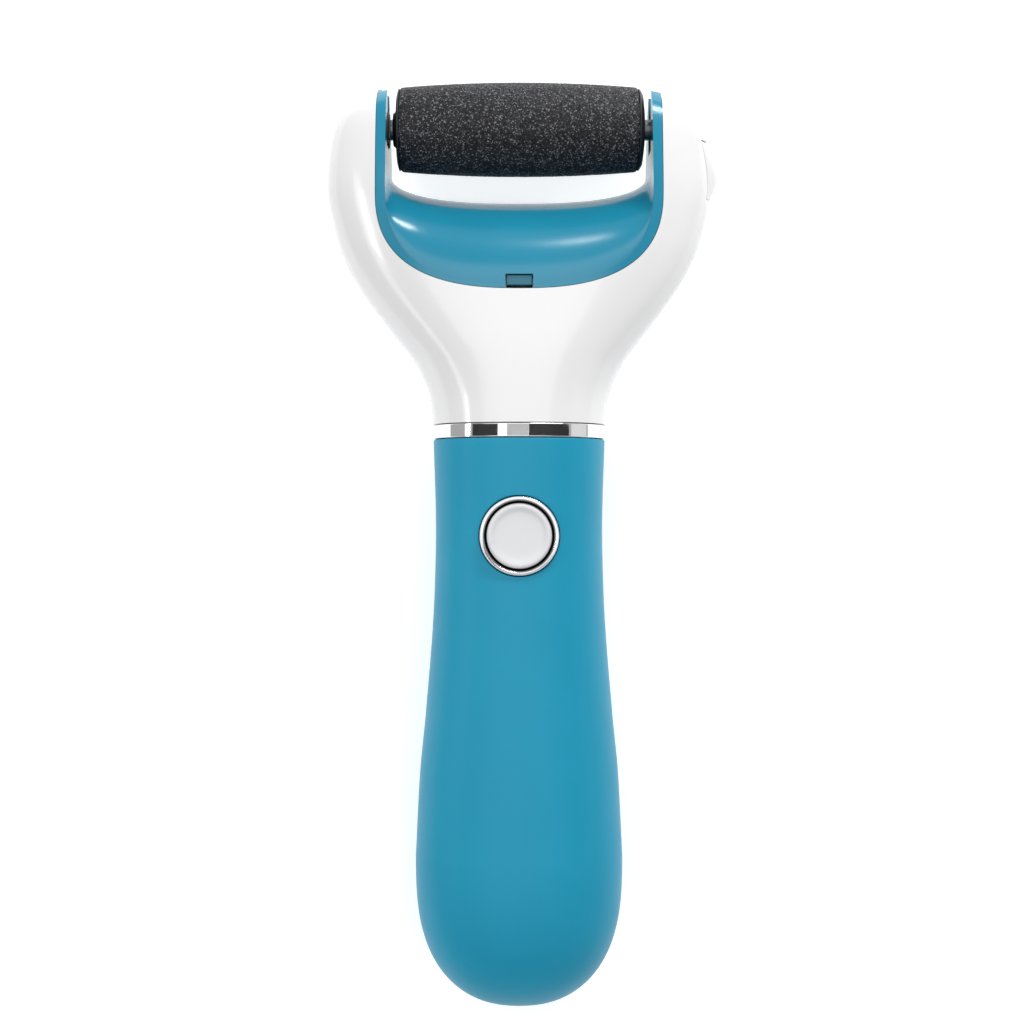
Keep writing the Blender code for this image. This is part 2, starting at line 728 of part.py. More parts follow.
# ---------------------------------------------------------------- motor
def motor(places):
    y, z = places["motor"]
    low, high = CAN_X
    half = CAN_FLATS / 2
    can = rod("motor_can", (low, y, z), (high, y, z), CAN_R, "X", steel(), 32)
    keep_inside(can, box("can_flats", (-40, y - 20, z - half), (40, y + 20, z + half)))
    join(can, rod("can_boss", (low - 1.3, y, z), (low + 0.5, y, z), 3.0, "X", None, 20))
    room = rod("can_room", (low + CAN_WALL, y, z), (high + 1, y, z), CAN_R - CAN_WALL, "X", None, 32)
    keep_inside(room, box("can_room_flats", (-40, y - 20, z - half + CAN_WALL), (40, y + 20, z + half - CAN_WALL)))
    cut(can, room)
    bore = MOTOR_SHAFT_R + GAP
    cut(can, rod("can_shaft_hole", (low - 3, y, z), (low + 3, y, z), bore, "X", None, 16))
    cap = rod("motor_end_cap", (high + 0.3, y, z), (high + 2.5, y, z), CAN_R, "X", black(), 32)
    keep_inside(cap, box("cap_flats", (-40, y - 20, z - half), (40, y + 20, z + half)))
    cut(cap, rod("cap_bore", (high - 1, y, z), (high + 4, y, z), bore, "X", None, 16))
    rod("motor_shaft", (-17.8, y, z), (high + 2.2, y, z), MOTOR_SHAFT_R, "X", steel(), 16)
    stack = [(5.6, 6.0), (5.6, -6.0), (bore, -6.0), (bore, 6.0)]
    turned("motor_armature", stack, (0.5, y, z), "X", material("copper", (0.55, 0.24, 0.10), 0.4, 1.0), ring=True)
    for name, side in (("motor_magnet_upper", 1), ("motor_magnet_lower", -1)):
        magnet = turned(name, [(8.9, 7.0), (8.9, -7.0), (6.2, -7.0), (6.2, 7.0)], (0.5, y, z), "X",
                        material("ferrite", (0.08, 0.08, 0.08), 0.6), 32, ring=True)
        near, far = sorted((y + side * 2.5, y + side * 12))
        keep_inside(magnet, box(name + "_arc", (-8, near, z - 6.2), (9, far, z + 6.2)))
    pinion = [gear_outline(PINION_TEETH, 0.0), circle(bore, 16)]
    plate("motor_pinion", pinion, MOTOR_GEAR_X[0] - 0.4, MOTOR_GEAR_X[1] + 0.4, "X", natural(), places["motor"])
    holes = [circle(3.3, 20, places["motor"]), circle(PIN_R + PIN_FIT, 12, TRANSFER_AXIS)]
    plate("motor_bracket", [belt(places["motor"], 7.6, TRANSFER_AXIS, 3.0), *holes], *BRACKET_X, "X", steel())


# ---------------------------------------------------------------- roller cartridge
def barrel(length):
    """Radius of the barrel-shaped roller at one distance from its middle."""
    return ROLLER_R_MID - (ROLLER_R_MID - ROLLER_R_END) * (length / ABRASIVE_HALF) ** 2


def roller():
    """Abrasive sleeve on a moulded core with two end caps, all fast on one shaft."""
    at = (0.0, AXLE_Y, 0.0)
    outside = [(barrel(x), x) for x in (ABRASIVE_HALF * (1 - k / 4) for k in range(9))]
    profile = [*outside, (CORE_R + GAP, -ABRASIVE_HALF), (CORE_R + GAP, ABRASIVE_HALF)]
    grit = material("abrasive_grit", (0.035, 0.036, 0.045), 0.75)
    turned("abrasive_sleeve", profile, at, "X", grit, 28, ring=True)
    bore = SHAFT_R + GAP
    core = [(CORE_R, CORE_HALF), (CORE_R, -CORE_HALF), (bore, -CORE_HALF), (bore, CORE_HALF)]
    turned("roller_core", core, at, "X", material("core_grey", (0.25, 0.25, 0.26), 0.5), 24, ring=True)
    drive = [(bore, 22.5), (3.0, 22.5), (3.4, 22.0), (7.2, 21.6), (7.2, 21.5), (5.9, 21.5), (5.9, 20.3), (bore, 20.3)]
    turned("drive_end_cap", [(r, -x) for r, x in reversed(drive)], at, "X", black(), 24, ring=True)
    idle = [(bore, 22.4), (5.0, 22.3), (6.8, 21.9), (7.2, 21.5), (5.9, 21.5), (5.9, 20.3), (bore, 20.3)]
    turned("idle_end_cap", idle, at, "X", black(), 24, ring=True)
    shaft = rod("roller_shaft", (SHAFT_X[0], AXLE_Y, 0), (SHAFT_X[1], AXLE_Y, 0), SHAFT_R, "X", steel())
    for name, side in (("upper", 1), ("lower", -1)):
        low, high = sorted((side * BLADE / 2, side * 5))
        cut(shaft, box(f"blade_flat_{name}", (-30, AXLE_Y - 5, low), (BLADE_END_X, AXLE_Y + 5, high)))
    shoe = box("bearing_shoe", (SHOE_X[0], SHOE_Y[0], -SHOE_HALF), (SHOE_X[1], SHOE_Y[1], SHOE_HALF), black(), 0.3)
    cut(shoe, rod("shoe_bore", (20, AXLE_Y, 0), (30, AXLE_Y, 0), bore, "X"))


# ---------------------------------------------------------------- release latch
def release_latch():
    """Button in the right arm; its stem rocks the leaf spring that holds the bearing shoe."""
    half = RELEASE_LENGTH / 2
    side_x = 33.0
    rise = RELEASE_PEAK_X - side_x
    turns = [math.pi / 2 * k / 5 for k in range(-5, 6)]
    dome = [(side_x + rise * math.cos(turn) ** 1.15, RELEASE_Y + half * math.sin(turn)) for turn in turns]
    back_x = 30.6
    outline = [(back_x, RELEASE_Y - half), *dome, (back_x, RELEASE_Y + half)]
    deep = RELEASE_DEPTH / 2
    button = as_mesh(plate("release_button", [outline], -deep, deep, "Z", white()))
    join(button, rod("release_stem", (26.5, RELEASE_Y, 0), (back_x + 0.4, RELEASE_Y, 0), 1.5, "X", None, 16))
    leaf = box("latch_spring", (25.5, 60.5, -2.0), (25.9, 77.0, 2.0), steel())
    cut(leaf, box("latch_notch", (25.0, 71.5, -1.0), (26.5, 73.0, 1.0)))


# ---------------------------------------------------------------- power button
def power_button():
    at = (0.0, BUTTON_Y, 0.0)
    inner, outer = BEZEL_R
    bezel = [(inner + 0.15, 13.6), (outer - 0.2, 13.6), (outer, 13.3), (outer, 10.4), (inner, 10.4), (inner, 13.4)]
    turned("button_bezel", bezel, at, "Z", chrome(), 28, ring=True)
    top = BUTTON_TOP
    cap = [(0.0, top - 0.35), (3.6, top - 0.3), (4.64, top - 0.02), (5.2, top), (BUTTON_R, top - 0.4),
           (BUTTON_R, 9.6), (1.2, 9.6), (1.2, 7.4), (0.0, 7.4)]
    turned("power_button", cap, at, "Z", white(), 28)
    plunger = [(0.0, 7.1), (1.5, 7.1), (1.5, 6.0), (0.0, 6.0)]
    turned("switch_plunger", plunger, at, "Z", black(), 16)
    seal = [(9.0, 8.7), (9.0, 7.9), (1.5, 7.9), (1.5, 8.7)]
    turned("button_seal", seal, at, "Z", material("grey_rubber", (0.12, 0.12, 0.12), 0.7), 24, ring=True)


# ---------------------------------------------------------------- electrics
def electrics():
    top = BOARD_TOP_Z
    green = material("board_green", (0.02, 0.16, 0.06), 0.5)
    holes = [circle(1.2, 12, (0.0, -9.5))]
    outline = [(-9.5, -11.5), (9.5, -11.5), (9.5, 10.5), (-9.5, 10.5)]
    plate("circuit_board", [outline, *holes], top - 1.0, top, "Z", green)
    switch = box("tact_switch", (-3, BUTTON_Y - 3, top + 0.3), (3, BUTTON_Y + 3, 6.6), black())
    cut(switch, rod("plunger_bore", (0, BUTTON_Y, 5.1), (0, BUTTON_Y, 8), 1.8, "Z", None, 16))
    box("controller_chip", (-8.4, 5.2, top + 0.3), (-4.4, 9.2, top + 1.5), black())
    box("charging_chip", (4.2, -8.4, top + 0.3), (8.2, -4.4, top + 1.6), black())


def battery():
    low, high = CELL_Y
    sleeve = material("cell_sleeve", (0.03, 0.10, 0.30), 0.35)
    cell = [(0.0, high), (2.6, high), (2.6, high - 0.8), (CELL_R - 0.4, high - 0.8), (CELL_R, high - 1.2),
            (CELL_R, low + 0.4), (CELL_R - 0.4, low), (0.0, low)]
    turned("battery_cell", cell, (0.0, 0.0, CELL_Z), "Y", sleeve, 28)
    tray_floor = CELL_Z - CELL_R - 1.2
    tray = box("battery_tray", (-8.1, low - 1.3, tray_floor), (8.1, high + 1.6, CELL_Z - 1.0), natural())
    cut(tray, rod("cell_room", (0, low - 0.9, CELL_Z), (0, high + 0.9, CELL_Z), CELL_R + GAP, "Y", None, 28))
    for name, near, far in (("plus", high + 0.25, high + TAB_REACH), ("minus", low - TAB_REACH, low - 0.25)):
        box(f"battery_tab_{name}", (-2.5, near, CELL_Z - 2.5), (2.5, far, CELL_Z + 4.0), steel())


def charging_port():
    """Jack at the butt with a rubber plug in its mouth."""
    mouth = BUTT_Y
    body = [(0.0, 8.9), (3.5, 8.9), (3.5, 2.6), (1.6, 2.6), (1.6, 7.5), (0.0, 7.5)]
    turned("charging_jack", body, (0.0, mouth, 0.0), "Y", black(), 20)
    plug = [(0.0, 6.0), (1.2, 6.0), (1.2, 2.2), (3.5, 2.2), (3.5, 0.8), (3.1, 0.3), (0.0, 0.1)]
    rubber = material("teal_rubber", (0.02, 0.22, 0.34), 0.6)
    turned("port_plug", plug, (0.0, mouth, 0.0), "Y", rubber, 20)


def wires(places):
    red = (0.55, 0.02, 0.02)
    dark = (0.02, 0.02, 0.02)
    end_x = CAN_X[1] + 2.9 + WIRE_R
    y, z = places["motor"]
    top = BOARD_TOP_Z + GAP + WIRE_R
    for name, lift, end, colour in (("motor_wire_red", 3.4, 6.6, red), ("motor_wire_black", -3.4, 4.6, dark)):
        level = lift / 2
        route = [(end_x, y - 2, z + lift), (end_x + 0.2, y - 7, level), (16.3, 34.0, level), (15.0, 30.5, level),
                 (13.2, 27.5, level), (10.0, 23.6, level), (end, 15.5, 4.0), (end, 9.0, top)]
        tube(name, route, WIRE_R, material(name, colour, 0.5))
    tab_y = CELL_Y[1] + TAB_REACH + GAP + WIRE_R
    tube("battery_wire_red", [(2.0, tab_y, CELL_Z + 3), (3.6, tab_y + 2, 2.4), (7.2, -15.0, 3.2), (7.4, -10.4, top)],
         WIRE_R, material("battery_wire_red", red, 0.5))
    low_y = CELL_Y[0] - TAB_REACH - GAP - WIRE_R
    tube("battery_wire_black", [(-1.5, low_y, CELL_Z + 3), (-3.5, low_y + 0.5, 6.6), (-4.0, CELL_Y[0] + 4, 7.0),
                                (-4.0, -24, 7.0), (-7.4, -15, 4.6), (-7.4, -10.4, top)],
         WIRE_R, material("battery_wire_black", dark, 0.5))


# ---------------------------------------------------------------- fasteners
def screw(name, x, y, head_low, tip):
    """Pan-head screw that enters from the back."""
    profile = [(0.0, tip), (0.8, tip - 0.9), (0.9, head_low + 1.4), (2.0, head_low + 1.4), (2.0, head_low + 0.3),
               (1.7, head_low), (0.0, head_low)]
    body = turned(name, profile, (x, y, 0.0), "Z", steel(), 12)
    for k, (half_x, half_y) in enumerate(((1.1, 0.25), (0.25, 1.1))):
        low = (x - half_x, y - half_y, head_low - 1)
        high = (x + half_x, y + half_y, head_low + 0.7)
        cut(body, box(f"{name}_recess_{k}", low, high))


def fasteners():
    for label, spot, head_low, tip in (("neck", NECK_SCREW, -7.7, 6.0), ("cradle", CRADLE_SCREW, -12.8, -4.0),
                                       ("handle", HANDLE_SCREW, -7.7, 6.0)):
        for side, (x, y) in zip(("left", "right"), mirrored(spot)):
            screw(f"{label}_screw_{side}", x, y, head_low, tip)
    screw("handle_screw_upper", *HANDLE_TOP_SCREW, -7.7, 6.0)


# ---------------------------------------------------------------- assembly
def main():
    places = train()
    handle_casings()
    cradle(head_casings())
    neck()
    gear_train(places)
    drive_hub(places)
    motor(places)
    roller()
    release_latch()
    power_button()
    electrics()
    battery()
    charging_port()
    wires(places)
    fasteners()


main()
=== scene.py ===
import json
import math

import bmesh
import bpy
from mathutils import Matrix, Vector, noise


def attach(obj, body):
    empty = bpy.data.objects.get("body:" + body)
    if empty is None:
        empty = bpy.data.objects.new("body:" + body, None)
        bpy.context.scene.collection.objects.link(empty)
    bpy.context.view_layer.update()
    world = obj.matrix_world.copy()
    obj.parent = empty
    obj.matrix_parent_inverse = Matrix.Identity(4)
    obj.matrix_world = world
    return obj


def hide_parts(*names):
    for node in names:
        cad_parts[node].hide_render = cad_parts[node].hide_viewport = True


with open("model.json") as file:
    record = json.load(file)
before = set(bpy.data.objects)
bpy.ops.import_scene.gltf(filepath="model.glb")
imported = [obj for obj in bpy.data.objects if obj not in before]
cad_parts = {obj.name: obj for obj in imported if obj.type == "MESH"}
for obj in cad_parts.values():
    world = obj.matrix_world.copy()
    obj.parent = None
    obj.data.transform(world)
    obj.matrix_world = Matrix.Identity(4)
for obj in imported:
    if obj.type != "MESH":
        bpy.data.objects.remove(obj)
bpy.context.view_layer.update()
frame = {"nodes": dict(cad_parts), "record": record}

MM = 0.001

# ---------------------------------------------------------------- form, as the CAD part has it
PARTING_HEIGHT = 15.5
SECTION_POWER = 2.4
WALL = 1.6
BUTT_Y = -82.2
BELLY_Y = -55.4
BUTT_POWERS = (2.8, 2.2)
HANDLE_TOP_Y = 18.55
RING_Y = (18.7, 21.1)
HEAD_BOTTOM_Y = 21.25
ARM_TIP_Y = 81.2
SEAM = 0.05

HANDLE_WIDTH = [(-55.4, 18.45), (-40.7, 17.7), (-29.9, 16.65), (-8.3, 15.1), (2.5, 14.86), (19.0, 15.3)]
HANDLE_FRONT = [(-55.4, 14.4), (-30.0, 13.7), (2.0, 13.0), (19.0, 13.6)]
HANDLE_BACK = [(-55.4, 16.0), (-30.0, 14.8), (2.0, 13.4), (19.0, 13.9)]
HEAD_WIDTH = [(19.0, 15.3), (25.2, 15.85), (31.0, 17.9), (36.7, 21.95), (42.5, 26.4), (48.2, 30.05),
              (54.0, 32.5), (64.0, 34.4), (71.3, 33.7), (76.8, 31.95), (79.5, 29.0), (81.2, 26.0)]
HEAD_FRONT = [(19.0, 13.6), (33.0, 13.1), (45.0, 12.2), (60.0, 11.2), (74.2, 9.3), (77.6, 8.2),
              (79.9, 6.2), (81.2, 3.2)]
HEAD_BACK = [(19.0, 13.9), (33.0, 15.4), (44.0, 15.9), (55.0, 15.2), (63.0, 13.6), (74.2, 9.6),
             (77.6, 8.4), (79.9, 6.2), (81.2, 3.2)]

LIP_CENTRE_Y = 62.0
LIP_DEPTH = 17.1
RIM_CENTRE_Y = 67.7
RIM_DEPTH = 5.6
RIM_Z = -8.0
LIP_STEP = 0.5
POCKET_POWER = 2.5
PLATE_INNER_X = 23.4
PLATE = 1.7

AXLE_Y = 74.2
ROLLER_R_MID = 8.35
ROLLER_R_END = 7.48
ABRASIVE_HALF = 21.2
SLEEVE_BORE_R = 6.5
SLEEVE_END_TURN = 0.5
GRAIN_SIZE = 0.30
GRIT_HEIGHT = 0.13
SHAFT_R = 1.85

BUTTON_Y = 1.65
BEZEL_R = (6.05, 6.9)
BUTTON_R = 5.65
BUTTON_TOP = 13.3
RELEASE_Y = 66.4
RELEASE_LENGTH = 10.4
RELEASE_DEPTH = 7.0
RELEASE_RISE = 1.35

FIT = 0.12
SCREW_HEAD_R = 2.35
SCREW_HOLE_R = 1.35
SCREW_POST_R = 2.9
SCREW_SEAT_Z = -6.0
CUT_REACH = 20.0
PORT_R = 3.6
SHOE_X = (23.7, 25.0)
SHOE_Y = (AXLE_Y - 3.9, AXLE_Y + 4.6)
SHOE_HALF = 2.5
CAP_INNER_X = 20.3
CAP_R = 7.2

HANDLE_SCREWS = [(0.0, -16.2), (-11.9, -68.5), (11.9, -68.5)]
NECK_SCREWS = [(-9.0, 29.4), (9.0, 29.4)]
CRADLE_SCREWS = [(-9.0, 57.7), (9.0, 57.7)]


def at(x, y, z):
    return Vector((x, y, z + PARTING_HEIGHT)) * MM


# ---------------------------------------------------------------- curves of the form
def smooth(points, place):
    """Height at one place of a curve that runs through the points without overshoot."""
    place = min(max(place, points[0][0]), points[-1][0])
    slopes = [(b[1] - a[1]) / (b[0] - a[0]) for a, b in zip(points, points[1:])]
    tangents = [slopes[0]]
    for before, after in zip(slopes, slopes[1:]):
        tangents.append(2 * before * after / (before + after) if before * after > 0 else 0.0)
    tangents.append(slopes[-1])
    index = max(i for i in range(len(slopes)) if points[i][0] <= place)
    (x0, y0), (x1, y1) = points[index], points[index + 1]
    span = x1 - x0
    t = (place - x0) / span
    h00 = 2 * t ** 3 - 3 * t ** 2 + 1
    h10 = t ** 3 - 2 * t ** 2 + t
    return (h00 * y0 + h10 * span * tangents[index]
            + (1 - h00) * y1 + (t ** 3 - t ** 2) * span * tangents[index + 1])


def softened(points, place, reach=1.4):
    """The same curve averaged over a short stretch, so that reflections run on smoothly."""
    reach = min(reach, place - points[0][0], points[-1][0] - place)
    if reach <= 0:
        return smooth(points, place)
    weights = (1, 3, 4, 3, 1)
    total = sum(w * smooth(points, place + reach * (k - 2) / 2) for k, w in enumerate(weights))
    return total / sum(weights)


def butt_factor(y):
    if y >= BELLY_Y:
        return 1.0
    share = min((BELLY_Y - y) / (BELLY_Y - BUTT_Y), 1.0)
    return (1.0 - share ** BUTT_POWERS[0]) ** (1.0 / BUTT_POWERS[1])


def handle_size(y):
    factor = butt_factor(y)
    return tuple(factor * softened(curve, y) for curve in (HANDLE_WIDTH, HANDLE_FRONT, HANDLE_BACK))


def head_size(y):
    return tuple(softened(curve, y) for curve in (HEAD_WIDTH, HEAD_FRONT, HEAD_BACK))


def section(size, y, inset=0.0, sides=112):
    """One superelliptic section, flattened where the object rests on its back."""
    width, front, back = (value - inset for value in size)
    ring = []
    for k in range(sides):
        angle = 2 * math.pi * k / sides
        across = math.copysign(abs(math.cos(angle)) ** (2 / SECTION_POWER), math.cos(angle))
        deep = math.copysign(abs(math.sin(angle)) ** (2 / SECTION_POWER), math.sin(angle))
        z = deep * (front if deep > 0 else back)
        ring.append((across * width, y, max(z, inset - PARTING_HEIGHT)))
    return ring


def front_surface(x, y):
    width, front, _ = head_size(y)
    return front * (1 - min(abs(x) / width, 1.0) ** SECTION_POWER) ** (1 / SECTION_POWER)


# ---------------------------------------------------------------- mesh helpers
def mesh_object(name, work):
    bmesh.ops.recalc_face_normals(work, faces=work.faces)
    mesh = bpy.data.meshes.new(name)
    work.to_mesh(mesh)
    work.free()
    obj = bpy.data.objects.new(name, mesh)
    bpy.context.scene.collection.objects.link(obj)
    return obj


def loft(name, rings):
    """A closed skin over sections that all have the same number of points."""
    work = bmesh.new()
    rows = [[work.verts.new(at(*p)) for p in ring] for ring in rings]
    count = len(rows[0])
    for row, following in zip(rows, rows[1:]):
        for k in range(count):
            nxt = (k + 1) % count
            work.faces.new((row[k], row[nxt], following[nxt], following[k]))
    work.faces.new(rows[0])
    work.faces.new(rows[-1])
    return mesh_object(name, work)


def block(low, high):
    work = bmesh.new()
    bmesh.ops.create_cube(work, size=1.0)
    low, high = at(*low), at(*high)
    placed = Matrix.Translation((low + high) / 2) @ Matrix.Diagonal((*(high - low), 1))
    bmesh.ops.transform(work, matrix=placed, verts=work.verts)
    return mesh_object("tool_block", work)


AXIS_TURNS = {
    "X": Matrix(((0, 0, 1), (1, 0, 0), (0, 1, 0))),
    "Y": Matrix(((0, 1, 0), (0, 0, 1), (1, 0, 0))),
    "Z": Matrix.Identity(3),
}


def turned(name, profile, centre, axis, steps=96, closed=False):
    """A (radius, distance along the axis) profile turned about X, Y or Z through a centre."""
    work = bmesh.new()
    turn = AXIS_TURNS[axis]
    origin = at(*centre)
    rows = []
    for radius, height in profile:
        if radius == 0.0:
            rows.append([work.verts.new(origin + turn @ Vector((0, 0, height * MM)))])
            continue
        row = []
        for k in range(steps):
            angle = 2 * math.pi * k / steps
            spot = Vector((radius * MM * math.cos(angle), radius * MM * math.sin(angle), height * MM))
            row.append(work.verts.new(origin + turn @ spot))
        rows.append(row)
    pairs = list(zip(rows, rows[1:]))
    if closed:
        pairs.append((rows[-1], rows[0]))
    for row, following in pairs:
        for k in range(steps):
            nxt = (k + 1) % steps
            corners = [row[k % len(row)], row[nxt % len(row)],
                       following[nxt % len(following)], following[k % len(following)]]
            unique = [v for i, v in enumerate(corners) if v not in corners[:i]]
            work.faces.new(unique)
    return mesh_object(name, work)


def rod(start, end, radius, axis, steps=48):
    """A plain cylinder between two places along one axis, used to cut or to add to a casing."""
    index = "XYZ".index(axis)
    centre = list(start)
    centre[index] = -PARTING_HEIGHT if axis == "Z" else 0.0
    shift = PARTING_HEIGHT if axis == "Z" else 0.0
    low, high = start[index] + shift, end[index] + shift
    line = [(0.0, low), (radius, low), (radius, high), (0.0, high)]
    return turned("tool_rod", line, centre, axis, steps)


def bake(obj):
    """Replace an object's mesh by what its modifiers make of it."""
    bpy.context.view_layer.update()
    made = bpy.data.meshes.new_from_object(obj.evaluated_get(bpy.context.evaluated_depsgraph_get()))
    obj.modifiers.clear()
    old = obj.data
    obj.data = made
    made.name = obj.name
    bpy.data.meshes.remove(old)
    return obj


def shape(obj, steps):
    """Run Boolean steps (operation, tool) and remove the tools."""
    tools = []
    for operation, tool in steps:
        boolean = obj.modifiers.new(operation, "BOOLEAN")
        boolean.operation = operation
        boolean.object = tool
        tools.append(tool)
    bake(obj)
    for tool in set(tools):
        bpy.data.objects.remove(tool)
    return obj


def weld(obj, distance):
    work = bmesh.new()
    work.from_mesh(obj.data)
    bmesh.ops.remove_doubles(work, verts=work.verts, dist=distance * MM)
    bmesh.ops.dissolve_degenerate(work, edges=work.edges, dist=distance * MM)
    work.to_mesh(obj.data)
    work.free()
    return obj


def soften_edges(obj, width, segments=2, angle=32.0):
    """Round the hard edges a little and shade the rest as one smooth surface."""
    weld(obj, 0.02)
    bevel = obj.modifiers.new("edge", "BEVEL")
    bevel.width = width * MM
    bevel.segments = segments
    bevel.limit_method = "ANGLE"
    bevel.angle_limit = math.radians(angle)
    bevel.use_clamp_overlap = False
    bevel.harden_normals = False
    bake(obj)
    return shade(obj)


def shade(obj, angle=50.0):
    for polygon in obj.data.polygons:
        polygon.use_smooth = True
    obj.data.set_sharp_from_angle(angle=math.radians(angle))
    weighted = obj.modifiers.new("normals", "WEIGHTED_NORMAL")
    weighted.keep_sharp = True
    weighted.weight = 70
    return bake(obj)


# ---------------------------------------------------------------- casing forms
def handle_form(inset, top):
    start = BUTT_Y + inset
    turns = 34
    places = []
    for k in range(turns + 1):
        places.append(start + (BELLY_Y - start) * (1 - math.cos(math.pi / 2 * k / turns)))
    places[0] = start + 0.006
    steps = 60
    places += [BELLY_Y + (top - BELLY_Y) * k / steps for k in range(1, steps + 1)]
    rings = []
    for y in places:
        scaled = BELLY_Y - (BELLY_Y - y) * (BELLY_Y - BUTT_Y) / (BELLY_Y - start)
        rings.append(section(handle_size(y if y > BELLY_Y else scaled), y, inset))
    return loft("tool_handle_form", [ring for ring in rings if ring[0][0] > 0.2])


def head_form(inset, bottom):
    top = ARM_TIP_Y - inset
    steps = 70
    places = [bottom + (top - bottom) * k / steps for k in range(steps)]
    places += [top - 0.5, top - 0.25, top - 0.1]
    rings = [section(head_size(y), y, inset) for y in sorted(set(places))]
    rings.append(section(head_size(ARM_TIP_Y), top, inset))
    return loft("tool_head_form", rings)


def arc_drop(x, half, depth):
    return depth * max(1 - min(abs(x) / half, 1.0) ** POCKET_POWER, 0.0) ** (1 / POCKET_POWER)


def trough_path(x, half, lip_drop, wall):
    lip = LIP_CENTRE_Y - arc_drop(x, half, LIP_DEPTH + lip_drop)
    rim = RIM_CENTRE_Y - arc_drop(x, half, RIM_DEPTH + wall)
    lip_z = front_surface(min(abs(x), PLATE_INNER_X), lip) - LIP_STEP - wall
    path = [(lip, 30.0 + wall)]
    turns = 24
    for k in range(turns + 1):
        angle = math.pi / 2 * k / turns
        path.append((lip + (rim - lip) * math.sin(angle), RIM_Z + (lip_z - RIM_Z) * math.cos(angle)))
    return [*path, (rim, -30.0 - wall), (110.0 + wall, -30.0 - wall), (110.0 + wall, 30.0 + wall)]


def pocket(side, lip_drop, wall):
    half = PLATE_INNER_X + side
    steps = 30
    across = [half * math.sin(math.pi / 2 * k / steps) ** (2 / POCKET_POWER) for k in range(steps + 1)]
    stations = [-x for x in reversed(across[1:])] + across
    rings = [[(x, y, z) for y, z in trough_path(x, half, lip_drop, wall)] for x in stations]
    return loft("tool_pocket", rings)


def half_space(side, seam):
    if side > 0:
        return block((-60, -110, seam), (60, 110, 60))
    return block((-60, -110, -60), (60, 110, -seam))


def screw_holes(spots):
    """A hole with a counterbore for each screw that enters a back casing."""
    profile = [(0.0, -CUT_REACH), (SCREW_HEAD_R, -CUT_REACH), (SCREW_HEAD_R, SCREW_SEAT_Z),
               (SCREW_HOLE_R, SCREW_SEAT_Z), (SCREW_HOLE_R, 1.0), (0.0, 1.0)]
    return [("DIFFERENCE", turned("tool_screw_hole", profile, (x, y, 0.0), "Z", 48)) for x, y in spots]


def around_posts(hollow, spots):
    """The hollow of a casing, with a solid screw post left standing at each spot."""
    posts = [rod((x, y, -CUT_REACH), (x, y, -0.3), SCREW_POST_R, "Z") for x, y in spots]
    return shape(hollow, [("DIFFERENCE", post) for post in posts])


def handle_casings(look):
    bore = BEZEL_R[1] + FIT
    for name, node, side in (("handle_front_skin", "handle_front_shell", 1),
                             ("handle_back_skin", "handle_back_shell", -1)):
        skin = handle_form(0.0, HANDLE_TOP_Y)
        skin.name = name
        hollow = handle_form(WALL, HANDLE_TOP_Y + 5.0)
        if side < 0:
            hollow = around_posts(hollow, HANDLE_SCREWS)
        steps = [("DIFFERENCE", hollow), ("INTERSECT", half_space(side, SEAM))]
        steps.append(("DIFFERENCE", rod((0, BUTT_Y - 4, 0), (0, BUTT_Y + 5, 0), PORT_R, "Y")))
        if side > 0:
            steps.append(("DIFFERENCE", rod((0, BUTTON_Y, 5), (0, BUTTON_Y, 30), bore, "Z", 96)))
        else:
            steps += screw_holes(HANDLE_SCREWS)
        finish_piece(soften_edges(shape(skin, steps), 0.16), look, "casing", "teal_plastic", node)


def head_casings(look):
    half = RELEASE_LENGTH / 2 + FIT
    deep = RELEASE_DEPTH / 2 + FIT
    for name, node, side in (("head_front_skin", "head_front_shell", 1),
                             ("head_back_skin", "head_back_shell", -1)):
        skin = head_form(0.02, HEAD_BOTTOM_Y)
        skin.name = name
        hollow = head_form(WALL, HEAD_BOTTOM_Y - 5.0)
        if side < 0:
            hollow = around_posts(hollow, NECK_SCREWS)
        steps = [("DIFFERENCE", hollow), ("INTERSECT", half_space(side, SEAM))]
        steps.append(("DIFFERENCE", pocket(PLATE + 0.1, 0.6, PLATE + 0.1)))
        window = block((28.0, RELEASE_Y - half, -deep), (40.0, RELEASE_Y + half, deep))
        steps.append(("DIFFERENCE", window))
        if side < 0:
            steps += screw_holes(NECK_SCREWS)
            steps += [("DIFFERENCE", rod((x, y, -20), (x, y, -5), 2.5, "Z")) for x, y in CRADLE_SCREWS]
        finish_piece(shade(weld(shape(skin, steps), 0.004), 40.0), look, "casing", "white_plastic", node)


def cradle(look, catch_painted_shade_look):
    skin = pocket(PLATE, 0.5, PLATE)
    skin.name = "cradle_skin"
    steps = [("DIFFERENCE", pocket(0.0, 0.0, 0.0)), ("INTERSECT", head_form(0.0, HEAD_BOTTOM_Y))]
    for x, y in CRADLE_SCREWS:
        steps.append(("UNION", rod((x, y, -11.0), (x, y, 0.5), 2.3, "Z")))
        steps.append(("DIFFERENCE", rod((x, y, -12.0), (x, y, -3.0), 1.2, "Z")))
    steps.append(("DIFFERENCE", rod((-28, AXLE_Y, 0), (-21, AXLE_Y, 0), 3.45, "X")))
    steps.append(("DIFFERENCE", block((-24.5, AXLE_Y, -2.3), (-20.0, 90.0, 2.3))))
    steps.append(("DIFFERENCE", block((20.0, AXLE_Y - 4.2, -2.9), (30.0, 90.0, 2.9))))
    steps.append(("DIFFERENCE", block((-2.4, 43.0, 6.0), (2.4, 46.9, 20.0))))
    finish_piece(shade(weld(shape(skin, steps), 0.004), 40.0), look, "casing", "teal_plastic", "cradle")
    catch = block((-2.25, 45.0, 8.6), (2.25, 46.75, 11.25))
    catch.name = "cradle_catch_skin"
    # the catch wears the darker teal, which paints the shade of its notch
    finish_piece(soften_edges(catch, 0.2, 3), catch_painted_shade_look, "casing", "teal_plastic", "cradle_catch")


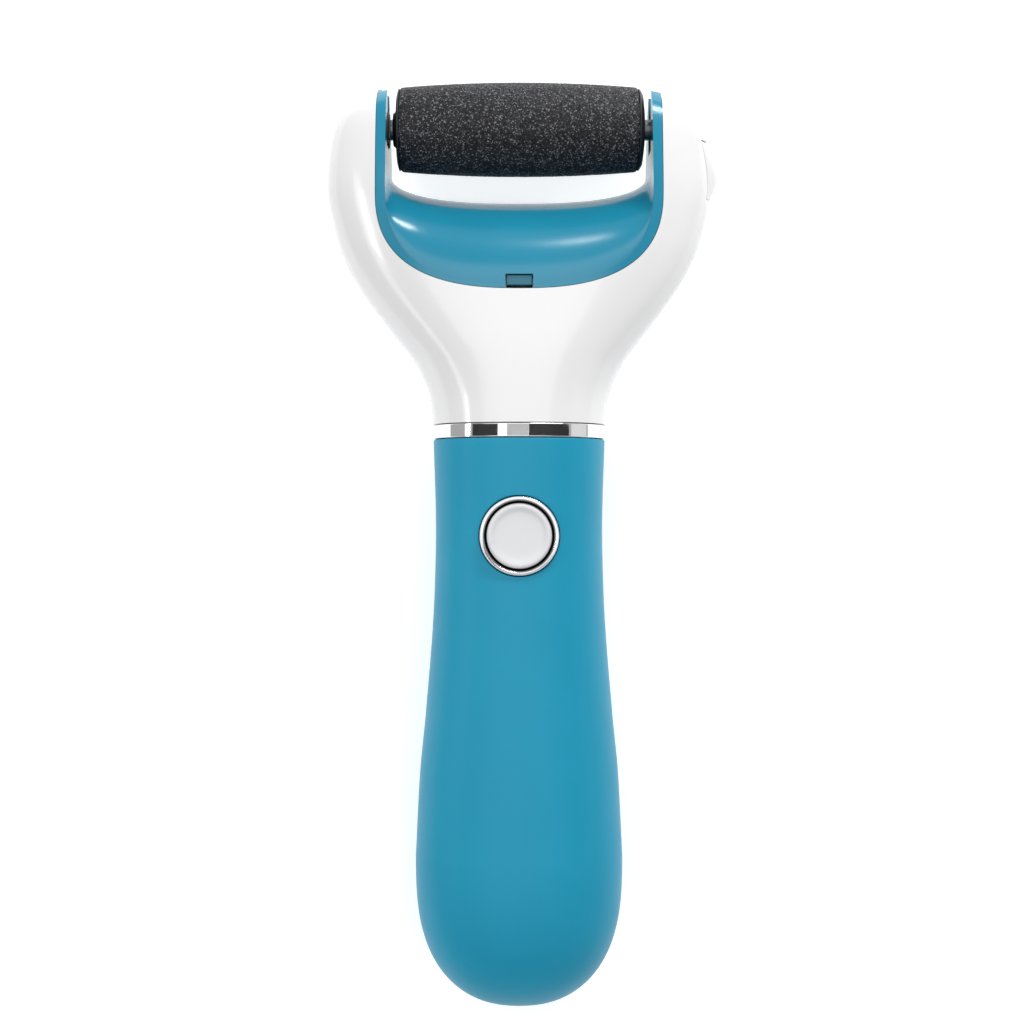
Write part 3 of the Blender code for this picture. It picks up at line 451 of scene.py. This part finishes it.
def neck_ring(look):
    size = head_size(19.5)
    low, high = RING_Y
    soft = 0.18
    rings = []
    for k in range(5):
        lean = math.pi / 2 * k / 4
        rings.append(section(size, low + soft * (1 - math.sin(lean)), soft * (1 - math.cos(lean))))
    rings.reverse()
    for k in range(5):
        lean = math.pi / 2 * k / 4
        rings.append(section(size, high - soft * (1 - math.sin(lean)), soft * (1 - math.cos(lean))))
    ordered = sorted(rings, key=lambda ring: ring[0][1])
    band = loft("neck_ring_skin", ordered)
    bore = loft("tool_ring_bore", [section(size, low - 1, 1.4), section(size, high + 1, 1.4)])
    shade(shape(band, [("DIFFERENCE", bore)]))
    finish_piece(band, look, "casing", "chrome", "neck_ring")


def finish_piece(obj, look, body, slot, *nodes):
    obj.data.materials.clear()
    obj.data.materials.append(look)
    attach(obj, body)
    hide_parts(*nodes)


# ---------------------------------------------------------------- controls
def rounded(corners, radius, steps=5):
    """A (radius, height) profile whose inner corners are turned into small arcs."""
    path = [corners[0]]
    for before, corner, after in zip(corners, corners[1:], corners[2:]):
        here = Vector(corner)
        start = here + (Vector(before) - here).normalized() * radius
        end = here + (Vector(after) - here).normalized() * radius
        for k in range(steps + 1):
            t = k / steps
            path.append(tuple(start * (1 - t) ** 2 + here * 2 * t * (1 - t) + end * t ** 2))
    return [*path, corners[-1]]


def power_button(look, bezel_painted_shade_look):
    centre = (0.0, BUTTON_Y, -PARTING_HEIGHT)
    lift = PARTING_HEIGHT
    inner, outer = BEZEL_R
    section_line = rounded([(inner, 10.5), (inner, 13.15), (inner + 0.2, 13.5), (outer - 0.12, 13.55),
                            (outer, 13.25), (outer, 10.5)], 0.08)
    bezel = turned("button_bezel_skin", [(r, z + lift) for r, z in section_line], centre, "Z", 128, True)
    finish_piece(shade(bezel, 70), bezel_painted_shade_look, "casing", "chrome", "button_bezel")
    top = BUTTON_TOP
    face = [(0.0, top - 0.42), (1.4, top - 0.41), (2.8, top - 0.38), (3.8, top - 0.33),
            (4.35, top - 0.24), (4.64, top - 0.12), (4.9, top - 0.03), (5.15, top),
            (5.4, top - 0.06), (5.58, top - 0.22), (BUTTON_R, top - 0.5), (BUTTON_R, 9.7),
            (1.2, 9.6), (1.2, 7.4), (0.0, 7.4)]
    cap = turned("power_button_skin", [(r, z + lift) for r, z in face], centre, "Z", 128)
    finish_piece(shade(cap, 60), look, "power_button", "white_plastic", "power_button")


def release_button(look):
    """Domed thumb pad that follows the arm and stands a little proud of it."""
    half, deep = RELEASE_LENGTH / 2 - 0.05, RELEASE_DEPTH / 2 - 0.05
    grid = 36
    work = bmesh.new()
    rows = []
    for i in range(grid + 1):
        u = -1 + 2 * i / grid
        row = []
        for j in range(grid + 1):
            v = -1 + 2 * j / grid
            y, z = RELEASE_Y + u * half, v * deep
            width, front, back = head_size(y)
            depth = front if z > 0 else back
            skin = width * (1 - (abs(z) / depth) ** SECTION_POWER) ** (1 / SECTION_POWER)
            rise = math.cos(math.pi / 2 * min(abs(u), 1.0)) ** 1.15 * (1 - abs(v) ** 4.0)
            row.append(work.verts.new(at(skin - FIT + RELEASE_RISE * rise, y, z)))
        rows.append(row)
    for row, following in zip(rows, rows[1:]):
        for j in range(grid):
            work.faces.new((row[j], row[j + 1], following[j + 1], following[j]))
    pad = mesh_object("release_button_skin", work)
    if sum((p.normal.x for p in pad.data.polygons)) < 0:
        pad.data.flip_normals()
    thick = pad.modifiers.new("wall", "SOLIDIFY")
    thick.thickness = 1.6 * MM
    thick.offset = -1.0
    bake(pad)
    shape(pad, [("UNION", rod((26.6, RELEASE_Y, 0), (33.0, RELEASE_Y, 0), 1.5, "X", 32))])
    finish_piece(soften_edges(pad, 0.15), look, "release_button", "white_plastic", "release_button")


def port_plug(look):
    face = rounded([(0.0, 0.1), (2.6, 0.14), (3.25, 0.45), (3.42, 0.8), (3.42, 2.2), (1.2, 2.2),
                    (1.2, 5.8), (0.0, 6.0)], 0.1, 4)
    plug = turned("port_plug_skin", face, (0, BUTT_Y, 0), "Y", 64)
    finish_piece(shade(plug, 50), look, "port_plug", "teal_rubber", "port_plug")


# ---------------------------------------------------------------- roller cartridge
def barrel(length):
    return ROLLER_R_MID - (ROLLER_R_MID - ROLLER_R_END) * (length / ABRASIVE_HALF) ** 2


def grain(point):
    """Height of one mineral grain, from 0 to 1, at a place on the sleeve in millimetres."""
    distances, corners = noise.voronoi(point / GRAIN_SIZE)
    size = 0.7 + 0.3 * noise.noise(corners[0] * 3.7)
    return max(0.0, 1.0 - distances[0] * 1.2) * size


def grit_radii(x, around):
    """Radii round the sleeve at one place along it, with the grains standing out of the binder."""
    to_end = ABRASIVE_HALF - abs(x)
    sink = SLEEVE_END_TURN * (1 - min(to_end / SLEEVE_END_TURN, 1.0)) ** 2 * 0.7
    binder = barrel(x) - GRIT_HEIGHT * 0.8 - sink
    radii = []
    for k in range(around):
        angle = 2 * math.pi * k / around
        spot = Vector((x, binder * math.cos(angle), binder * math.sin(angle)))
        radii.append(binder + GRIT_HEIGHT * (min(grain(spot), 1.0) - 0.2))
    return radii


def sleeve_ring(work, x, radii):
    ring = []
    for k, radius in enumerate(radii):
        angle = 2 * math.pi * k / len(radii)
        y, z = AXLE_Y + radius * math.cos(angle), radius * math.sin(angle)
        ring.append(work.verts.new(at(x, y, z)))
    return ring


def abrasive_sleeve(look):
    """Barrel with real raised grains; its ends turn in to the caps."""
    around, along = 360, 270
    work = bmesh.new()
    places = [ABRASIVE_HALF * (2 * i / along - 1) for i in range(along + 1)]
    rows = [sleeve_ring(work, x, grit_radii(x, around)) for x in places]
    rows.insert(0, sleeve_ring(work, -ABRASIVE_HALF, [SLEEVE_BORE_R] * around))
    rows.append(sleeve_ring(work, ABRASIVE_HALF, [SLEEVE_BORE_R] * around))
    for row, following in zip(rows, [*rows[1:], rows[0]]):
        for k in range(around):
            nxt = (k + 1) % around
            work.faces.new((row[k], row[nxt], following[nxt], following[k]))
    sleeve = mesh_object("abrasive_sleeve_skin", work)
    for polygon in sleeve.data.polygons:
        polygon.use_smooth = True
    finish_piece(sleeve, look, "roller", "abrasive", "abrasive_sleeve")


def end_caps(look):
    bore = SHAFT_R + 0.05
    spigot = [(CAP_R, 21.25), (5.9, 21.25), (5.9, CAP_INNER_X), (bore, CAP_INNER_X)]
    drive = rounded([(bore, 22.5), (2.85, 22.5), (3.1, 22.2), (3.3, 21.95), (6.2, 21.75),
                     (CAP_R, 21.5), *spigot], 0.1)
    idle = rounded([(bore, 22.35), (4.0, 22.3), (6.3, 22.0), (7.15, 21.5), *spigot], 0.12)
    for name, node, line, side in (("drive_end_cap_skin", "drive_end_cap", drive, -1),
                                   ("idle_end_cap_skin", "idle_end_cap", idle, 1)):
        cap = turned(name, [(r, side * x) for r, x in line], (0, AXLE_Y, 0), "X", 96, True)
        if side < 0:
            soften_edges(shape(cap, end_grooves(side)), 0.08)
        else:
            shade(cap)
        finish_piece(cap, look, "roller", "black_plastic", node)


def end_grooves(side):
    """Shallow keys moulded round the driven cap."""
    steps = []
    for k in range(6):
        angle = math.pi * k / 3 + math.pi / 6
        y, z = AXLE_Y + 5.0 * math.cos(angle), 5.0 * math.sin(angle)
        steps.append(("DIFFERENCE", rod((side * 21.2, y, z), (side * 23.0, y, z), 0.7, "X", 24)))
    return steps


def roller_shaft(look):
    line = [(0.0, -24.0), (SHAFT_R - 0.15, -24.0), (SHAFT_R, -23.85), (SHAFT_R, 24.4),
            (SHAFT_R - 0.2, 24.6), (0.0, 24.6)]
    shaft = turned("roller_shaft_skin", line, (0, AXLE_Y, 0), "X", 64)
    steps = [("DIFFERENCE", block((-30, AXLE_Y - 5, 0.8), (-23.0, AXLE_Y + 5, 5.0))),
             ("DIFFERENCE", block((-30, AXLE_Y - 5, -5.0), (-23.0, AXLE_Y + 5, -0.8)))]
    finish_piece(soften_edges(shape(shaft, steps), 0.08), look, "roller", "steel", "roller_shaft")


def bearing_shoe(look):
    shoe = block((SHOE_X[0], SHOE_Y[0], -SHOE_HALF), (SHOE_X[1], SHOE_Y[1], SHOE_HALF))
    shoe.name = "bearing_shoe_skin"
    shape(shoe, [("DIFFERENCE", rod((20, AXLE_Y, 0), (30, AXLE_Y, 0), SHAFT_R + FIT, "X", 48))])
    finish_piece(soften_edges(shoe, 0.25, 3), look, "cartridge", "black_plastic", "bearing_shoe")


# ---------------------------------------------------------------- materials
class Look:
    """A Principled material with short helpers for its procedural nodes."""

    def __init__(self, name, colour, roughness, metallic=0.0):
        self.material = bpy.data.materials.new(name)
        self.material.use_nodes = True
        self.nodes = self.material.node_tree.nodes
        self.links = self.material.node_tree.links
        self.shader = self.nodes["Principled BSDF"]
        self.shader.inputs["Base Color"].default_value = (*colour, 1.0)
        self.shader.inputs["Roughness"].default_value = roughness
        self.shader.inputs["Metallic"].default_value = metallic
        self.place = self.nodes.new("ShaderNodeTexCoord").outputs["Object"]

    def noise(self, scale, detail=4.0):
        node = self.nodes.new("ShaderNodeTexNoise")
        node.inputs["Scale"].default_value = scale
        node.inputs["Detail"].default_value = detail
        self.links.new(self.place, node.inputs["Vector"])
        return node.outputs["Fac"]

    def cells(self, scale, output="Distance"):
        node = self.nodes.new("ShaderNodeTexVoronoi")
        node.inputs["Scale"].default_value = scale
        self.links.new(self.place, node.inputs["Vector"])
        return node.outputs[output]

    def ramp(self, factor, stops):
        node = self.nodes.new("ShaderNodeValToRGB")
        elements = node.color_ramp.elements
        while len(elements) < len(stops):
            elements.new(0.5)
        for element, (where, colour) in zip(elements, stops):
            element.position = where
            element.color = (*colour, 1.0)
        self.links.new(factor, node.inputs["Fac"])
        return node.outputs["Color"]

    def span(self, factor, low, high):
        node = self.nodes.new("ShaderNodeMapRange")
        node.inputs["To Min"].default_value = low
        node.inputs["To Max"].default_value = high
        self.links.new(factor, node.inputs["Value"])
        return node.outputs["Result"]

    def into(self, output, socket):
        self.links.new(output, self.shader.inputs[socket])

    def bump(self, height, strength, distance):
        node = self.nodes.new("ShaderNodeBump")
        node.inputs["Strength"].default_value = strength
        node.inputs["Distance"].default_value = distance * MM
        self.links.new(height, node.inputs["Height"])
        if self.shader.inputs["Normal"].is_linked:
            self.links.new(self.shader.inputs["Normal"].links[0].from_socket, node.inputs["Normal"])
        self.links.new(node.outputs["Normal"], self.shader.inputs["Normal"])


def shades(colour, spread):
    return [tuple(c * (1 - spread) for c in colour), tuple(min(c * (1 + spread), 1.0) for c in colour)]


def moulded(name, colour, roughness, spread=0.03, grain_mm=0.35, grain_height=0.004,
            coat=0.0, specular=0.5):
    """Moulded plastic: faint colour drift, uneven gloss and the fine texture of the mould."""
    look = Look(name, colour, roughness)
    dark, light = shades(colour, spread)
    look.into(look.ramp(look.noise(60.0), [(0.3, dark), (0.7, light)]), "Base Color")
    look.into(look.span(look.noise(240.0), roughness * 0.86, roughness * 1.14), "Roughness")
    look.bump(look.noise(1000.0 / grain_mm, 2.0), 0.5, grain_height)
    look.shader.inputs["Coat Weight"].default_value = coat
    look.shader.inputs["Coat Roughness"].default_value = 0.06
    look.shader.inputs["Specular IOR Level"].default_value = specular
    return look.material


def teal_handle():
    return moulded("teal_soft_touch", (0.006, 0.285, 0.450), 0.46, 0.035, 0.28, 0.006, 0.0, 0.3)


def teal_cradle():
    return moulded("teal_satin", (0.012, 0.225, 0.350), 0.20, 0.03, 0.5, 0.003, 0.0, 0.5)


def teal_painted_shade():
    # painted shade: a darker copy of the cradle teal, standing in for the shade in the notch where the
    # catch sits
    return moulded("teal_shadowed", (0.020, 0.150, 0.215), 0.5)


def white_gloss():
    return moulded("white_gloss", (0.79, 0.79, 0.795), 0.15, 0.008, 6.0, 0.010, 0.2)


def white_button():
    return moulded("white_translucent", (0.70, 0.705, 0.725), 0.3, 0.01, 1.0, 0.003, 0.1)


def black_plastic():
    return moulded("black_moulded", (0.010, 0.010, 0.012), 0.42, 0.2, 0.3, 0.008)


def grit_look():
    """Dark mineral grit: black binder and grey-blue grains, with a few bright specks that are painted
    glints on grain facets.
    """
    look = Look("abrasive_grit", (0.02, 0.022, 0.03), 0.6)
    tone = look.cells(5200.0, "Color")
    separate = look.nodes.new("ShaderNodeSeparateColor")
    look.links.new(tone, separate.inputs["Color"])
    # the stops up to 0.88 are the grains' own grey-blue; the top stop (0.20) is a painted highlight, the
    # glint of grain facets
    tones = [(0.0, (0.002, 0.002, 0.003)), (0.40, (0.003, 0.003, 0.004)), (0.70, (0.014, 0.014, 0.018)),
             (0.88, (0.050, 0.052, 0.062)), (0.98, (0.20, 0.205, 0.23))]
    look.into(look.ramp(separate.outputs["Red"], tones), "Base Color")
    look.into(look.span(separate.outputs["Green"], 0.30, 0.85), "Roughness")
    look.shader.inputs["Specular IOR Level"].default_value = 0.3
    look.bump(look.cells(5200.0), 0.7, 0.05)
    look.bump(look.noise(9000.0, 3.0), 0.5, 0.03)
    return look.material


def metal(name, colour, roughness, scratch=0.03):
    look = Look(name, colour, roughness, 1.0)
    dark, light = shades(colour, 0.03)
    look.into(look.ramp(look.noise(300.0), [(0.35, dark), (0.65, light)]), "Base Color")
    low, high = max(roughness - scratch, 0.02), roughness + scratch
    look.into(look.span(look.noise(1400.0), low, high), "Roughness")
    return look.material


def looks_of_slots():
    """One procedural look for each material slot of the record, for the nodes inside the casing."""
    return {
        "teal_plastic": teal_handle(),
        "white_plastic": white_gloss(),
        "black_plastic": black_plastic(),
        "natural_acetal": moulded("natural_acetal", (0.72, 0.70, 0.63), 0.38, 0.03),
        "steel": metal("bright_steel", (0.55, 0.55, 0.56), 0.25, 0.08),
        "chrome": metal("chrome_plating", (0.86, 0.86, 0.87), 0.05, 0.015),
        "black_rubber": moulded("black_rubber", (0.012, 0.012, 0.012), 0.75, 0.2),
        "teal_rubber": moulded("teal_rubber", (0.020, 0.20, 0.32), 0.6, 0.05),
        "abrasive": grit_look(),
        "copper": metal("copper_winding", (0.60, 0.27, 0.12), 0.35, 0.1),
        "bronze": metal("sintered_bronze", (0.48, 0.33, 0.15), 0.45, 0.1),
        "ferrite": moulded("ferrite", (0.03, 0.03, 0.032), 0.65, 0.2),
        "board": moulded("board_green", (0.012, 0.13, 0.05), 0.4, 0.15),
        "cell": moulded("cell_sleeve", (0.02, 0.07, 0.24), 0.3, 0.05),
        "wire_red": moulded("wire_red", (0.45, 0.012, 0.012), 0.4, 0.05),
        "wire_black": moulded("wire_black", (0.012, 0.012, 0.012), 0.4, 0.1),
    }


def dress_cad_nodes(looks):
    for entry in frame["record"]["subparts"]:
        node = frame["nodes"][entry["node"]]
        look = looks[entry["material_slot"]]
        if not node.material_slots:
            node.data.materials.append(look)
        for material_slot in node.material_slots:
            material_slot.material = look


# ---------------------------------------------------------------- studio
def softbox(name, where, towards, size, power):
    light = bpy.data.lights.new(name, "AREA")
    light.shape = "RECTANGLE"
    light.size, light.size_y = (value * MM for value in size)
    light.energy = power
    lamp = bpy.data.objects.new(name, light)
    bpy.context.scene.collection.objects.link(lamp)
    lamp.location = at(*where)
    lamp.rotation_euler = (at(*towards) - at(*where)).to_track_quat("-Z", "Y").to_euler()


def studio():
    paper_floor()
    world = bpy.data.worlds.new("studio_world")
    world.use_nodes = True
    background = world.node_tree.nodes["Background"]
    background.inputs["Color"].default_value = (1.0, 1.0, 1.0, 1.0)
    background.inputs["Strength"].default_value = 0.44
    bpy.context.scene.world = world
    softbox("front_softbox", (-40, 160, 900), (0, 0, 0), (900, 900), 3.9)
    softbox("low_top_softbox", (165, 480, 200), (0, 52, 5), (250, 80), 1.6)
    softbox("left_softbox", (-450, 40, 320), (0, 20, 0), (420, 70), 0.25)
    softbox("left_strip", (-430, 110, 350), (0, 60, 5), (150, 12), 0.22)
    softbox("right_softbox", (430, 40, 150), (0, 20, 0), (420, 260), 0.12)
    reflection_cards()


def paper_floor():
    """A pale paper floor that glows a little, so that it stays white under the lamps."""
    work = bmesh.new()
    bmesh.ops.create_grid(work, x_segments=2, y_segments=2, size=1.6)
    sheet = mesh_object("studio_floor", work)
    sheet.location.z = -0.0002
    paper = Look("studio_paper", (0.86, 0.86, 0.86), 0.9)
    tones = [(0.3, (0.855, 0.855, 0.855)), (0.7, (0.865, 0.865, 0.865))]
    paper.into(paper.ramp(paper.noise(30.0), tones), "Base Color")
    paper.shader.inputs["Emission Color"].default_value = (1.0, 1.0, 1.0, 1.0)
    paper.shader.inputs["Emission Strength"].default_value = 0.45
    sheet.data.materials.append(paper.material)


def reflection_cards():
    """Dark and grey cards behind the camera that give the neck ring its stripes."""
    for name, low, high, tone in (("dark_card_right", (40, 20, 470), (585, 65, 471), 0.01),
                                  ("grey_card", (-57, 20, 470), (39, 65, 471), 0.40),
                                  ("dark_card_left", (-458, 20, 440), (-114, 65, 441), 0.01)):
        card = block(low, high)
        card.name = name
        card.data.materials.append(Look(name, (tone, tone, tone), 0.9).material)


def camera():
    """Straight above the front, 0.31 m over the plane that parts the casings."""
    bpy.context.scene.view_settings.view_transform = "Standard"
    lens = bpy.data.cameras.new("front_camera")
    lens.sensor_width = 36.0
    lens.lens = 61.2
    lens.clip_start = 0.01
    body = bpy.data.objects.new("front_camera", lens)
    bpy.context.scene.collection.objects.link(body)
    body.location = at(-1.26, 5.76, 312.0)
    bpy.context.scene.camera = body


# ---------------------------------------------------------------- assembly
def main():
    camera()
    studio()
    looks = looks_of_slots()
    dress_cad_nodes(looks)
    handle_casings(looks["teal_plastic"])
    head_casings(looks["white_plastic"])
    cradle(teal_cradle(), teal_painted_shade())
    neck_ring(looks["chrome"])
    # the bezel's chrome is dimmed to 0.50, well below the neck ring's chrome: painted shade for the
    # darker reflections the bezel shows
    power_button(white_button(), metal("bezel_chrome_painted_shade", (0.50, 0.50, 0.51), 0.12, 0.03))
    release_button(looks["white_plastic"])
    port_plug(looks["teal_rubber"])
    abrasive_sleeve(looks["abrasive"])
    end_caps(looks["black_plastic"])
    # the shaft's steel is darkened to 0.16, against 0.55 for bright steel: painted shade of the plate
    # channels its ends sit in
    roller_shaft(metal("shaft_steel_painted_shade", (0.16, 0.16, 0.17), 0.35, 0.08))
    bearing_shoe(looks["black_plastic"])


main()
